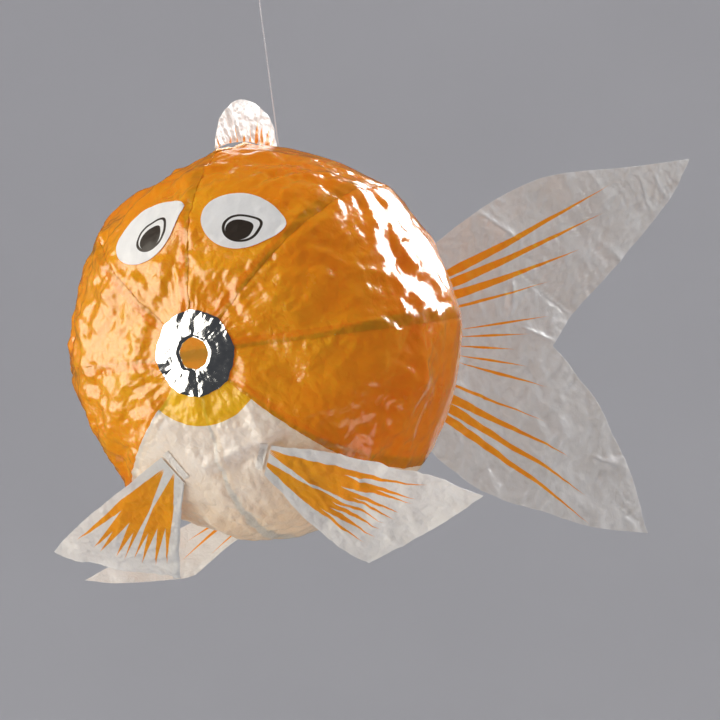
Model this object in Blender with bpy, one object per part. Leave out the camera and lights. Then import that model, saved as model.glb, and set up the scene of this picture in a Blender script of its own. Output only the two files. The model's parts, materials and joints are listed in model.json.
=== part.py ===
"""Paper balloon goldfish on a thread: eight glued paper gores with a foil blow-hole ring, two eye
patches and five thin paper fins, each fin folding at its own glued strip. It hangs from a thread.

Axes: +Z up, the mouth faces -Y, the tail points to +Y, and the fish's left side is +X. The origin is the
inside top of the loop at the thread's upper end.
"""

import math

import bmesh
import bpy
from mathutils import Matrix, Vector

MM = 0.001

# Balloon body, measured from its own centre.
BODY_RADIUS = 84.5 * MM
NOSE_LENGTH = 74 * MM
STERN_LENGTH = 82 * MM
NOSE_FULLNESS = 2.6
STERN_FULLNESS = 1.85
GORE_COUNT = 8
GORE_ANGLE = 2 * math.pi / GORE_COUNT
GORE_ROUNDNESS = 0.6
MOUTH_DIMPLE = 1.5 * MM
DIMPLE_WIDTH = 16 * MM
HOLE_RADIUS = 7 * MM
HOLE_TRIM = 0.5 * MM
STERN_HOLE_RADIUS = 2.5 * MM

# Paper. The sheets are thicker than real glassine, so that each one is a solid.
GORE_PAPER = 0.35 * MM
FIN_PAPER = 0.4 * MM
TAIL_PAPER = 0.5 * MM
PATCH_PAPER = 0.3 * MM
GAP = 0.3 * MM
SEAM_HALF_GAP = 0.25 * MM

# Round trim at the two poles.
FOIL_RADIUS = 18 * MM
STERN_PATCH_RADIUS = 10 * MM

# Eyes: two patches of one almond shape on the upper front. Both are drawn out to a point towards the
# fish's left, and each is glued on at its own slant.
EYE_PLACE = 57 * MM
EYE_AROUND = math.radians(22.5)
EYE_HALF_LENGTH = 15.5 * MM
EYE_CORNER = 3 * MM
EYE_CORNER_SHARPNESS = 6
EYE_HALF_HEIGHT = 12 * MM

# Thread, loop and knots. The hanging loop's inside top is the origin.
THREAD_DIAMETER = 0.5 * MM
HANG_HEIGHT = 160 * MM
THREAD_BEHIND_CENTRE = 33 * MM
LOOP_RADIUS = 3 * MM
KNOT_RADIUS = 0.9 * MM

HANGER_GAP = 2 * GAP
LOOP_STRETCH = 1.3
KNOT_WIDTH_SHARE = 0.8
KNOT_HEIGHT_SHARE = 1.15
THREAD_STEP = 1.5 * MM

# Glue strips that the fins fold on: a flat leaf on the skin, with a low rib along its middle.
LEAF_HALF_WIDTH = 2.5 * MM
RIB_HEIGHT = 1.6 * MM
RIB_HALF_THICKNESS = 0.25 * MM

# Fins.
DORSAL_FRONT = -30 * MM
DORSAL_REAR = 30 * MM
DORSAL_HEIGHT = 104.5 * MM
DORSAL_FOOT_SHARE = 0.96
DORSAL_SHOULDER = 0.45
DORSAL_EDGE = 0.6 * MM
DORSAL_CLEARANCE = 0.1 * MM
PECTORAL_LIFT = 0.5 * MM
PECTORAL_STRIP_WIDTH = 5 * MM
PECTORAL_SWELL = 2.5 * MM
PECTORAL_UPPER_SWELL = 1.6
VENTRAL_FRONT = 38 * MM
VENTRAL_REAR = 60 * MM
TAIL_ROOT_HALF = 14 * MM
TAIL_LENGTH = 180 * MM
TAIL_HALF_SPAN = 91 * MM
TAIL_NOTCH = 113 * MM
TAIL_TURN = math.radians(37)
TAIL_TWIST = math.radians(3)
TAIL_DROOP = math.radians(10)
TAIL_BOW = 5 * MM
TAIL_DROOP_REACH = 30 * MM

# How finely each sheet is divided.
GORE_ROWS = 23
GORE_COLUMNS = 6
FOIL_ROWS = 5
FOIL_STEPS = 48
PATCH_STEPS = 32
EYE_STEPS = 28
STRIP_ROWS = 9
FIN_ROWS = 11
FIN_COLUMNS = 9
VENTRAL_ROWS = 13
TAIL_ROWS = 15
TAIL_COLUMNS = 21
DORSAL_COLUMNS = 17
DORSAL_ROWS = 6
LOOP_STEPS = 28

ORANGE = (0.80, 0.30, 0.03)
WHITE = (0.86, 0.82, 0.76)
GLASSINE = (0.70, 0.68, 0.66)
SILVER = (0.80, 0.80, 0.82)
CLEAR = (0.85, 0.86, 0.88)

LEFT, RIGHT = 1, -1
SIDE_NAMES = {LEFT: "left", RIGHT: "right"}
EYE_SLANTS = {LEFT: math.radians(-12), RIGHT: math.radians(30)}


# ---------------------------------------------------------------- body surface


def meridian(angle):
    """(y, radius) of the body's outline at an angle from the nose: 0 at the mouth, pi at the tail."""
    along, across = math.cos(angle), abs(math.sin(angle))
    length, fullness = (NOSE_LENGTH, NOSE_FULLNESS) if along > 0 else (STERN_LENGTH, STERN_FULLNESS)
    reach = (abs(along) / length) ** fullness + (across / BODY_RADIUS) ** fullness
    reach = reach ** (-1 / fullness)
    radius = reach * across
    dimple = MOUTH_DIMPLE * math.exp(-((radius / DIMPLE_WIDTH) ** 2)) if along > 0 else 0
    return -reach * along + dimple, radius


def facet(around):
    """How far out the paper lies at an angle round the body: seams stand out, the middles lie flatter."""
    off_middle = (around % GORE_ANGLE) - GORE_ANGLE / 2
    flat = math.cos(GORE_ANGLE / 2) / math.cos(off_middle)
    return GORE_ROUNDNESS + (1 - GORE_ROUNDNESS) * flat


def raw_skin(angle, around):
    y, radius = meridian(angle)
    radius *= facet(around)
    return Vector((radius * math.sin(around), y, radius * math.cos(around)))


def skin_normal(angle, around):
    if meridian(angle)[1] < MM:
        return Vector((0, -math.cos(angle), 0)).normalized()
    step = 1e-3
    along = raw_skin(angle + step, around) - raw_skin(angle - step, around)
    across = Vector((math.cos(around), 0, -math.sin(around)))
    return along.cross(across).normalized() * -1


def skin(angle, around, height=0.0):
    """A point of the paper skin: around is 0 at the back and grows towards the fish's left."""
    return raw_skin(angle, around) + skin_normal(angle, around) * height


def angle_at_radius(radius, nose=True):
    """The meridian angle where the seams' radius is this much, on the nose or the stern half."""
    low, high = (0.0, math.pi / 2) if nose else (math.pi, math.pi / 2)
    for _ in range(50):
        middle = (low + high) / 2
        if meridian(middle)[1] < radius:
            low = middle
        else:
            high = middle
    return (low + high) / 2


def angle_at_y(y):
    """The meridian angle where the body is this far behind its centre."""
    low, high = 0.0, math.pi
    for _ in range(50):
        middle = (low + high) / 2
        if meridian(middle)[0] < y:
            low = middle
        else:
            high = middle
    return (low + high) / 2


# ---------------------------------------------------------------- building blocks


def clear_scene():
    for obj in list(bpy.data.objects):
        bpy.data.objects.remove(obj, do_unlink=True)


def paper(name, colour, roughness, metallic=0.0):
    material = bpy.data.materials.new(name)
    material.use_nodes = True
    shader = material.node_tree.nodes["Principled BSDF"]
    shader.inputs["Base Color"].default_value = (*colour, 1)
    shader.inputs["Roughness"].default_value = roughness
    shader.inputs["Metallic"].default_value = metallic
    return material


def empty(name, location, parent=None):
    obj = bpy.data.objects.new(name, None)
    bpy.context.scene.collection.objects.link(obj)
    obj.parent = parent
    obj.location = location
    return obj


def add_object(name, data, material, parent, pivot=Vector()):
    """Links an object whose points are given from the parent's origin, and sets its own origin at pivot."""
    if isinstance(data, bpy.types.Mesh):
        data.transform(Matrix.Translation(-pivot))
        data.shade_smooth()
        data.set_sharp_from_angle(angle=math.radians(40))
    data.materials.append(material)
    obj = bpy.data.objects.new(name, data)
    bpy.context.scene.collection.objects.link(obj)
    obj.parent = parent
    obj.location = pivot
    return obj


def grid_mesh(name, rows, closed=False):
    """A sheet through rows of points, wrapped round on itself if closed."""
    mesh = bmesh.new()
    made = [[mesh.verts.new(point) for point in row] for row in rows]
    width = len(rows[0])
    for low, high in zip(made, made[1:]):
        for column in range(width if closed else width - 1):
            follow = (column + 1) % width
            mesh.faces.new((low[column], low[follow], high[follow], high[column]))
    data = bpy.data.meshes.new(name)
    mesh.to_mesh(data)
    mesh.free()
    return data


def thicken(obj, thickness, offset):
    solidify = obj.modifiers.new("paper", "SOLIDIFY")
    solidify.thickness = thickness
    solidify.offset = offset
    solidify.use_even_offset = True


def mirror_side(point, side):
    return Vector((point[0] * side, point[1], point[2]))


def line(start, end, share):
    return Vector(start).lerp(Vector(end), share)


def smooth_line(points, share):
    """A Catmull-Rom curve through the points, at a share of the way along its spans."""
    place = share * (len(points) - 1)
    index = min(int(place), len(points) - 2)
    t = place - index
    p1, p2 = Vector(points[index]), Vector(points[index + 1])
    p0 = Vector(points[index - 1]) if index else p1 * 2 - p2
    p3 = Vector(points[index + 2]) if index + 2 < len(points) else p2 * 2 - p1
    bend = (p0 * 2 - p1 * 5 + p2 * 4 - p3) * t * t + (p1 * 3 - p0 - p2 * 3 + p3) * t**3
    return (p1 * 2 + (p2 - p0) * t + bend) / 2


def coons(root, tip, first, last, s, t):
    """A point of the sheet between four edges: root and tip run with t, first and last run with s."""
    ruled = root(t) * (1 - s) + tip(t) * s + first(s) * (1 - t) + last(s) * t
    corners = root(0) * (1 - s) * (1 - t) + root(1) * (1 - s) * t + tip(0) * s * (1 - t) + tip(1) * s * t
    return ruled - corners


def shares(count):
    return [index / (count - 1) for index in range(count)]


def full_turn(count):
    return [2 * math.pi * step / count for step in range(count)]


# ---------------------------------------------------------------- balloon


def make_gore(name, index, material, balloon):
    """One glued paper segment of the balloon, from the blow hole to the stern."""
    start = angle_at_radius(HOLE_RADIUS + HOLE_TRIM)
    end = angle_at_radius(STERN_HOLE_RADIUS, nose=False)
    rows = []
    for share in shares(GORE_ROWS):
        angle = start + (end - start) * share
        trim = SEAM_HALF_GAP / meridian(angle)[1]
        first, last = index * GORE_ANGLE + trim, (index + 1) * GORE_ANGLE - trim
        rows.append([skin(angle, first + (last - first) * step) for step in shares(GORE_COLUMNS)])
    gore = add_object(name, grid_mesh(name, rows), material, balloon)
    thicken(gore, GORE_PAPER, -1)


def make_gores(orange, white, balloon):
    """The segments in order round the body, from the middle of the back over the fish's left side."""
    places = ["back_left", "flank_left", "side_left", "belly_left"]
    places += ["belly_right", "side_right", "flank_right", "back_right"]
    for index, place in enumerate(places):
        make_gore(f"gore_{place}", index, white if "belly" in place else orange, balloon)


def make_foil_ring(material, balloon):
    """The silver ring that stiffens the blow hole in the fish's mouth."""
    turn = full_turn(FOIL_STEPS)
    rows = []
    for share in shares(FOIL_ROWS):
        angle = angle_at_radius(HOLE_RADIUS + (FOIL_RADIUS - HOLE_RADIUS) * share)
        rows.append([skin(angle, around, GAP + PATCH_PAPER) for around in turn])
    ring = add_object("mouth_foil_ring", grid_mesh("mouth_foil_ring", rows, True), material, balloon)
    thicken(ring, PATCH_PAPER, -1)


def make_stern_patch(material, balloon):
    """The round paper patch over the points of the eight gores at the tail end."""
    angles = [angle_at_radius(STERN_PATCH_RADIUS * share, nose=False) for share in (1, 0.7, 0.4, 0.1)]
    turn = full_turn(PATCH_STEPS)
    rows = [[skin(angle, around, GAP + PATCH_PAPER) for around in turn] for angle in angles]
    data = grid_mesh("stern_patch", rows, True)
    mesh = bmesh.new()
    mesh.from_mesh(data)
    bmesh.ops.holes_fill(mesh, edges=[edge for edge in mesh.edges if edge.is_boundary], sides=PATCH_STEPS)
    outer = max(mesh.faces, key=lambda face: face.calc_area())
    bmesh.ops.delete(mesh, geom=[outer], context="FACES_ONLY")
    bmesh.ops.recalc_face_normals(mesh, faces=mesh.faces)
    mesh.to_mesh(data)
    mesh.free()
    patch = add_object("stern_patch", data, material, balloon)
    thicken(patch, PATCH_PAPER, -1)


def eye_outline(turn):
    """The eye's edge round its own centre: round at one end, drawn out to a point at the other."""
    point = max(0.0, math.cos(turn)) ** EYE_CORNER_SHARPNESS
    half_long = EYE_HALF_LENGTH + EYE_CORNER * point
    return half_long * math.cos(turn), EYE_HALF_HEIGHT * math.sin(turn)


def make_eye(side, material, balloon):
    """A white paper eye glued over the upper gores of one side."""
    name = f"eye_patch_{SIDE_NAMES[side]}"
    middle = angle_at_radius(EYE_PLACE), side * EYE_AROUND
    centre, normal = skin(*middle), skin_normal(*middle)
    slant = EYE_SLANTS[side]
    along = Vector((math.cos(slant), 0, math.sin(slant)))
    along = (along - normal * along.dot(normal)).normalized()
    upwards = normal.cross(along)
    rows = []
    for share in (0.08, 0.3, 0.52, 0.76, 1.0):
        row = []
        for turn in full_turn(EYE_STEPS):
            long, high = eye_outline(turn)
            flat = centre + along * long * share + upwards * high * share
            angle = math.atan2(math.hypot(flat.x, flat.z), -flat.y)
            row.append(skin(angle, math.atan2(flat.x, flat.z), GAP + PATCH_PAPER))
        rows.append(row)
    data = grid_mesh(name, rows, True)
    mesh = bmesh.new()
    mesh.from_mesh(data)
    mesh.verts.ensure_lookup_table()
    mesh.faces.new(mesh.verts[:EYE_STEPS])
    bmesh.ops.recalc_face_normals(mesh, faces=mesh.faces)
    if sum((face.normal * face.calc_area()).dot(normal) for face in mesh.faces) < 0:
        bmesh.ops.reverse_faces(mesh, faces=mesh.faces)
    mesh.to_mesh(data)
    mesh.free()
    patch = add_object(name, data, material, balloon)
    thicken(patch, PATCH_PAPER, -1)


# ---------------------------------------------------------------- fins


def make_tee_strip(name, path, outward, material, balloon):
    """A fin's glue strip: a leaf on the skin with a low rib, swept along the path."""
    profile = [
        (-LEAF_HALF_WIDTH, 0), (LEAF_HALF_WIDTH, 0), (LEAF_HALF_WIDTH, PATCH_PAPER),
        (RIB_HALF_THICKNESS, PATCH_PAPER), (RIB_HALF_THICKNESS, RIB_HEIGHT),
        (-RIB_HALF_THICKNESS, RIB_HEIGHT), (-RIB_HALF_THICKNESS, PATCH_PAPER),
        (-LEAF_HALF_WIDTH, PATCH_PAPER),
    ]
    side = Vector((1, 0, 0))
    rows = []
    for point, out in zip(path, outward):
        rows.append([point + side * across + out * up for across, up in profile])
    data = grid_mesh(name, rows, True)
    mesh = bmesh.new()
    mesh.from_mesh(data)
    mesh.verts.ensure_lookup_table()
    count = len(profile)
    mesh.faces.new(mesh.verts[:count])
    mesh.faces.new(mesh.verts[-count:])
    bmesh.ops.recalc_face_normals(mesh, faces=mesh.faces)
    mesh.to_mesh(data)
    mesh.free()
    return add_object(name, data, material, balloon)


def seam_strip(name, front, rear, around, lift, material, balloon):
    """A glue strip along the back or belly seam, between two places along the body."""
    first, last = angle_at_y(front), angle_at_y(rear)
    angles = [first + (last - first) * share for share in shares(STRIP_ROWS)]
    path = [skin(angle, around, lift) for angle in angles]
    return make_tee_strip(name, path, [skin_normal(angle, around) for angle in angles], material, balloon)


def rib_top(y, around):
    """The height over the centre line of a seam strip's rib top, plus the fold gap."""
    angle = angle_at_y(y)
    return abs(skin(angle, around, GAP + RIB_HEIGHT + GAP).z)


def make_dorsal_fin(strip_material, material, balloon):
    seam_strip("dorsal_glue_strip", DORSAL_FRONT, DORSAL_REAR, 0.0, GAP, strip_material, balloon)
    middle, half = (DORSAL_FRONT + DORSAL_REAR) / 2, (DORSAL_REAR - DORSAL_FRONT) / 2
    columns = []
    for share in shares(DORSAL_COLUMNS):
        turn = math.pi * share
        y_foot = middle - half * math.cos(turn) * DORSAL_FOOT_SHARE
        foot = rib_top(y_foot, 0.0) + DORSAL_CLEARANCE
        crown = foot + (DORSAL_HEIGHT - foot) * math.sin(turn) ** DORSAL_SHOULDER + DORSAL_EDGE
        columns.append([Vector((0, y_foot, foot + (crown - foot) * up)) for up in shares(DORSAL_ROWS)])
    pivot = Vector((0, middle, rib_top(0.0, 0.0)))
    fin = add_object("dorsal_fin", grid_mesh("dorsal_fin", columns), material, balloon, pivot)
    thicken(fin, FIN_PAPER, 0)


def tail_flat_point(s, t):
    """A point of the flat tail: x along its own axis, z across. t runs from the upper to the lower edge."""
    half = TAIL_HALF_SPAN
    upper = [(0, TAIL_ROOT_HALF), (40 * MM, 46 * MM), (79 * MM, 72 * MM), (118 * MM, 82 * MM),
             (148 * MM, 87 * MM), (TAIL_LENGTH, half)]
    trailing = [(TAIL_LENGTH, half), (159 * MM, 63 * MM), (136 * MM, 31 * MM), (TAIL_NOTCH, 0)]

    def edge(sign):
        return lambda share: smooth_line([(x, 0, z * sign) for x, z in upper], share)

    def tip(share):
        sign, inward = (1, 2 * share) if share < 0.5 else (-1, 2 * (1 - share))
        return smooth_line([(x, 0, z * sign) for x, z in trailing], inward)

    def root(share):
        return Vector((0, 0, TAIL_ROOT_HALF * (1 - 2 * share)))

    return coons(root, tip, edge(1), edge(-1), s, t)


def tail_pivot():
    return Vector((0, STERN_LENGTH + 2 * (GAP + PATCH_PAPER) + RIB_HEIGHT + GAP, 0))


def tail_point(s, t):
    """The hanging tail: turned to the fish's left, drooping, with a little twist and a soft bow."""
    flat = tail_flat_point(s, t)
    turn = TAIL_TURN + TAIL_TWIST * flat.z / TAIL_HALF_SPAN
    drooped = Matrix.Rotation(TAIL_DROOP * min(1.0, flat.x / TAIL_DROOP_REACH), 3, "Y") @ flat
    bow = TAIL_BOW * math.sin(math.pi * flat.x / TAIL_LENGTH)
    along = Vector((math.sin(turn), math.cos(turn), 0))
    across = Vector((math.cos(turn), -math.sin(turn), 0))
    return tail_pivot() + along * drooped.x + across * bow + Vector((0, 0, drooped.z))


def make_tail(strip_material, material, balloon):
    heights = [TAIL_ROOT_HALF * (1 - 2 * share) for share in shares(STRIP_ROWS)]
    lift = 2 * GAP + PATCH_PAPER
    angles = [angle_at_radius(abs(z), nose=False) if z else math.pi for z in heights]
    path = [skin(angle, 0.0 if z > 0 else math.pi, lift) for angle, z in zip(angles, heights)]
    path = [Vector((0, point.y, z)) for point, z in zip(path, heights)]
    backwards = [Vector((0, 1, 0))] * len(path)
    make_tee_strip("tail_glue_strip", path, backwards, strip_material, balloon)
    rows = [[tail_point(s, t) for t in shares(TAIL_COLUMNS)] for s in shares(TAIL_ROWS)]
    fin = add_object("tail_fin", grid_mesh("tail_fin", rows), material, balloon, tail_pivot())
    thicken(fin, TAIL_PAPER, 0)


def pectoral_root(side):
    """The two ends of a pectoral fin's fold on the belly gore, and the skin's normal between them."""
    upper = (angle_at_radius(49 * MM), math.radians(148.5) * side)
    lower = (angle_at_radius(57 * MM), math.radians(161) * side)
    lift = GAP + PATCH_PAPER / 2 + PECTORAL_LIFT
    middle = ((upper[0] + lower[0]) / 2, (upper[1] + lower[1]) / 2)
    return skin(*upper, lift), skin(*lower, lift), skin_normal(*middle)


def make_pectoral_fin(side, strip_material, material, balloon):
    upper, lower, normal = pectoral_root(side)
    fold = (lower - upper).normalized()
    inboard = fold.cross(normal) * side
    if inboard.x * side > 0:
        inboard = -inboard
    strip_name = f"pectoral_glue_strip_{SIDE_NAMES[side]}"
    width = inboard * PECTORAL_STRIP_WIDTH
    rows = [[upper, upper + width], [lower, lower + width]]
    strip = add_object(strip_name, grid_mesh(strip_name, rows), strip_material, balloon)
    thicken(strip, PATCH_PAPER, 0)

    start, end = upper - inboard * GAP, lower - inboard * GAP
    outer = mirror_side((100 * MM, -34 * MM, -72 * MM), side)
    inner = mirror_side((44 * MM, -26 * MM, -96 * MM), side)
    swell = normal * PECTORAL_SWELL

    def root(t):
        return line(start, end, t)

    def tip(t):
        return line(outer, inner, t)

    def first(s):
        return line(start, outer, s) + swell * math.sin(math.pi * s) * PECTORAL_UPPER_SWELL

    def last(s):
        return line(end, inner, s) + swell * math.sin(math.pi * s)

    across = shares(FIN_COLUMNS)
    rows = [[coons(root, tip, first, last, s, t) for t in across] for s in shares(FIN_ROWS)]
    name = f"pectoral_fin_{SIDE_NAMES[side]}"
    fin = add_object(name, grid_mesh(name, rows), material, balloon, (start + end) / 2)
    thicken(fin, FIN_PAPER, 0)


def make_ventral_fin(strip_material, material, balloon):
    """The single fin under the stern, flopped over to the fish's right."""
    seam_strip("ventral_glue_strip", VENTRAL_FRONT, VENTRAL_REAR, math.pi, GAP, strip_material, balloon)
    lift = GAP + RIB_HEIGHT + GAP + FIN_PAPER / 2
    outer = Vector((-106 * MM, 10 * MM, -94 * MM))
    inner = Vector((-58 * MM, 24 * MM, -99 * MM))
    sag = Vector((0, 0, -4 * MM))

    def root(t):
        y = VENTRAL_REAR + (VENTRAL_FRONT - VENTRAL_REAR) * t
        return skin(angle_at_y(y), math.pi, lift)

    def tip(t):
        return line(outer, inner, t)

    def first(s):
        return line(root(0), outer, s) + sag * math.sin(math.pi * s)

    def last(s):
        return line(root(1), inner, s) + sag * math.sin(math.pi * s) * 0.5

    across = shares(FIN_COLUMNS)
    rows = [[coons(root, tip, first, last, s, t) for t in across] for s in shares(VENTRAL_ROWS)]
    pivot = (root(0) + root(1)) / 2
    fin = add_object("ventral_fin", grid_mesh("ventral_fin", rows), material, balloon, pivot)
    thicken(fin, FIN_PAPER, 0)


# ---------------------------------------------------------------- thread


def make_tube(name, points, material, closed=False):
    curve = bpy.data.curves.new(name, "CURVE")
    curve.dimensions = "3D"
    curve.bevel_depth = THREAD_DIAMETER / 2
    curve.bevel_resolution = 2
    curve.use_fill_caps = not closed
    spline = curve.splines.new("POLY")
    spline.points.add(len(points) - 1)
    for knot, point in zip(spline.points, points):
        knot.co = (*point, 1)
    spline.use_cyclic_u = closed
    return add_object(name, curve, material, None)


def make_knot(name, centre, material, parent):
    mesh = bmesh.new()
    bmesh.ops.create_uvsphere(mesh, u_segments=12, v_segments=8, radius=KNOT_RADIUS)
    shape = (KNOT_WIDTH_SHARE, KNOT_WIDTH_SHARE, KNOT_HEIGHT_SHARE)
    bmesh.ops.scale(mesh, vec=shape, verts=mesh.verts)
    data = bpy.data.meshes.new(name)
    mesh.to_mesh(data)
    mesh.free()
    obj = add_object(name, data, material, parent)
    obj.location = centre
    return obj


def make_hanger(material, body_height):
    """The loop at the top, its knot, the straight thread and the knot that holds the paper."""
    half_width, half_height = LOOP_RADIUS, LOOP_RADIUS * LOOP_STRETCH
    centre = THREAD_DIAMETER / 2 - half_height
    turn = full_turn(LOOP_STEPS)
    loop = [(0, half_width * math.sin(a), centre + half_height * math.cos(a)) for a in turn]
    make_tube("hanging_loop", loop, material, closed=True)
    knot_top = centre - half_height - THREAD_DIAMETER / 2 - GAP
    knot_height = KNOT_RADIUS * KNOT_HEIGHT_SHARE
    make_knot("loop_knot", (0, 0, knot_top - knot_height), material, None)
    thread_top = knot_top - 2 * knot_height - GAP
    foot = body_height + skin(angle_at_y(THREAD_BEHIND_CENTRE), 0.0).z + HANGER_GAP
    make_knot("thread_knot", (0, 0, foot + knot_height), material, None)
    thread_foot = foot + 2 * knot_height + GAP
    spans = round((thread_top - thread_foot) / THREAD_STEP)
    run = [(0, 0, thread_top + (thread_foot - thread_top) * step / spans) for step in range(spans + 1)]
    make_tube("hanging_thread", run, material)


def main():
    clear_scene()
    orange = paper("orange_glassine", ORANGE, 0.35)
    white = paper("white_glassine", WHITE, 0.4)
    pale = paper("clear_glassine", GLASSINE, 0.45)
    silver = paper("silver_foil", SILVER, 0.18, metallic=1.0)
    clear = paper("clear_thread", CLEAR, 0.15)
    body_height = -HANG_HEIGHT
    balloon = empty("balloon", (0, -THREAD_BEHIND_CENTRE, body_height))
    make_gores(orange, white, balloon)
    make_foil_ring(silver, balloon)
    make_stern_patch(orange, balloon)
    for side in (LEFT, RIGHT):
        make_eye(side, white, balloon)
        make_pectoral_fin(side, white, white, balloon)
    make_dorsal_fin(white, white, balloon)
    make_ventral_fin(white, white, balloon)
    make_tail(pale, pale, balloon)
    make_hanger(clear, body_height)


main()
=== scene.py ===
"""Looks of the paper balloon goldfish: crumpled glassine gores with real glue laps, a creased foil ring,
printed eyes and fins, and the clear thread that it hangs from.

Everything is in metres. The balloon's own frame has its origin at the body's centre, with the mouth
facing -Y, the tail +Y, the fish's left side +X and the back +Z.
"""

import json
import math

import bmesh
import bpy
import numpy as np
from mathutils import Matrix, Vector

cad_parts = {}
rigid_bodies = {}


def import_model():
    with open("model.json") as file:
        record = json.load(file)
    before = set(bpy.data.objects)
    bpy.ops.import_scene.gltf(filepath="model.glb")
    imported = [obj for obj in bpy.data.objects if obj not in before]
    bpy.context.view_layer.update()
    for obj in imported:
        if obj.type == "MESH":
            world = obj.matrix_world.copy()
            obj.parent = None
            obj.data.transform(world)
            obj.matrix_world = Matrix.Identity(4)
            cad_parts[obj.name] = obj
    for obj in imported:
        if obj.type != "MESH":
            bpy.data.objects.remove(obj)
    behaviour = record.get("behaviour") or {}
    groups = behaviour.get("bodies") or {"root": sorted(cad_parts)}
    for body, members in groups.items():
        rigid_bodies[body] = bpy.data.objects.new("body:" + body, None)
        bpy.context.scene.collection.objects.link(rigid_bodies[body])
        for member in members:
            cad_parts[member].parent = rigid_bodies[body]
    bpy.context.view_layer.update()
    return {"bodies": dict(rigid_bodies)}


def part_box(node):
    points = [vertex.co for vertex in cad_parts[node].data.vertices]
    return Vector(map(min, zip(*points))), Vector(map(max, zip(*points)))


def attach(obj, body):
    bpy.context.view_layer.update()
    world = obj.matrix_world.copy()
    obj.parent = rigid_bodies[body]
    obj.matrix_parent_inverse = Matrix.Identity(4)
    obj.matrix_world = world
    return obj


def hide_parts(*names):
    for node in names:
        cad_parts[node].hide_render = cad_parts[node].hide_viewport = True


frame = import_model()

norm = np.linalg.norm
MM = 0.001
LEFT, RIGHT = 1, -1
SIDE_NAMES = {LEFT: "left", RIGHT: "right"}

# The gores in order round the body, the balloon's centre, and the CAD's driving sizes.
GORES = ["back_left", "flank_left", "side_left", "belly_left",
         "belly_right", "side_right", "flank_right", "back_right"]
BODY_CENTRE = np.array([0.0, -33.0, -160.0]) * MM
BODY_RADIUS = 84.5 * MM
NOSE_LENGTH = 74 * MM
STERN_LENGTH = 82 * MM
NOSE_FULLNESS = 2.6
STERN_FULLNESS = 1.85
GORE_ANGLE = math.pi / 4
GORE_ROUNDNESS = 0.6
MOUTH_DIMPLE = 1.5 * MM
DIMPLE_WIDTH = 16 * MM
MOUTH_LIP = 3.4 * MM
HOLE_RADIUS = 7 * MM
STERN_HOLE_RADIUS = 2.5 * MM
FOIL_RADIUS = 18 * MM
STERN_PATCH_RADIUS = 10 * MM
THROAT_RADIUS = 30 * MM
THREAD_DIAMETER = 0.5 * MM

EYE_PLACE = 59 * MM
EYE_HALF_LENGTH = 16.8 * MM
EYE_CORNER = 3.6 * MM
EYE_CORNER_SHARPNESS = 6
EYE_HALF_HEIGHT = 13.2 * MM
EYE_AROUND = math.radians(22.5)
EYE_SLANTS = {LEFT: math.radians(-12), RIGHT: math.radians(30)}
DORSAL_HALF = 30 * MM
VENTRAL_FRONT = 38 * MM
VENTRAL_REAR = 60 * MM
PECTORAL_HEM = 3 / 57
TAIL_ROOT_HALF = 14 * MM
TAIL_TURN = math.radians(37)
TAIL_TWIST = math.radians(3)
TAIL_DROOP = math.radians(10)
TAIL_PIVOT = 85.1

# Fin outlines in mm on the flat paper, as (upper edge, tip, lower edge) where one fin has all three, and
# creases as (ends, height, width) and bends as (ends, slope, reach).
TAIL_UPPER = [(0, 14), (26, 30), (60, 56.5), (84.5, 71), (104.5, 78.5), (144, 85), (180, 92)]
TAIL_LOWER = [(0, -14), (28, -42), (58, -65), (80, -75), (108, -81), (136, -87), (171, -89)]
TAIL_TRAILING_UPPER = [(180, 92), (168, 69), (140, 38), (118, 13), (106, -2)]
TAIL_TRAILING_LOWER = [(171, -89), (159, -64), (147, -45), (129, -22), (106, -2)]
TAIL_CREASES = [
    (((86, 30.5), (118, 14)), -1.3, 2.2), (((86.4, 5.6), (107, -0.4)), 1.0, 1.8),
    (((81.5, 28), (82, 9.6)), 1.1, 1.6), (((61, 58), (84.5, 45.5)), 1.1, 2.2),
    (((150, 80), (159, 64)), 0.9, 1.6), (((157, 84), (166, 72)), 0.7, 1.6),
    (((132, -53.4), (151, -58.4)), 0.9, 1.8), (((147, -74.3), (166, -84.8)), -0.9, 1.8),
]
TAIL_BENDS = [(((84, 72), (82.6, 4)), 0.16, 26), (((82.6, 4), (78.8, -75)), -0.14, 30),
              (((76, 72), (74, -72)), -0.10, 4)]
PECTORAL_OUTLINES = {
    LEFT: ([(18, -18.5), (55, -28.5), (84, -29)], [(72, 3)], [(29, 20), (59.7, 29.5)]),
    RIGHT: ([(32, -15.5), (60, -21.5), (88, -25)],
            [(88, -18), (84.5, -10), (81.5, -3), (77.5, 4), (73, 11), (67, 19)], [(32, 17), (61, 27.5)]),
}
PECTORAL_CREASES = {
    LEFT: [(((34.6, -17), (38.4, -8.6)), 1.0, 1.6), (((59, 10.5), (67, 13)), 0.8, 1.5),
           (((10, -8), (50, 22)), 0.5, 2.0)],
    RIGHT: [(((30, -10), (60, -4)), 0.6, 2.0), (((44, 12), (70, 2)), 0.5, 1.6)],
}
VENTRAL_OUTLINE = ([(50, -14), (90, -13.5), (122, -11)], [(108, -2.4), (84, 7.5)], [(48, 4), (76.5, 9.4)])
DORSAL_CROWN = [(-30.7, 84), (-27.3, 90.5), (-21, 97), (-12, 102), (-2, 104.5), (8, 104.3), (17, 102),
                (26, 98), (31, 92), (32, 86)]

# Paper thickness as it is shown, and how the gores lap.
SHEET = 0.16 * MM
LAP = 5 * MM
LAP_STEP = 0.3 * MM
LAP_COLUMNS = 7
GORE_COLUMNS = 76

# --- camera

CAMERA_AZIMUTH = math.radians(23.57)
CAMERA_ELEVATION = math.radians(1.22)
CAMERA_ROLL = math.radians(7.46)
CAMERA_DISTANCE = 1.3
CAMERA_AIM_RIGHT = 37.88 * MM
CAMERA_AIM_UP = -8.03 * MM
CAMERA_LENS = 151.2


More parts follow.
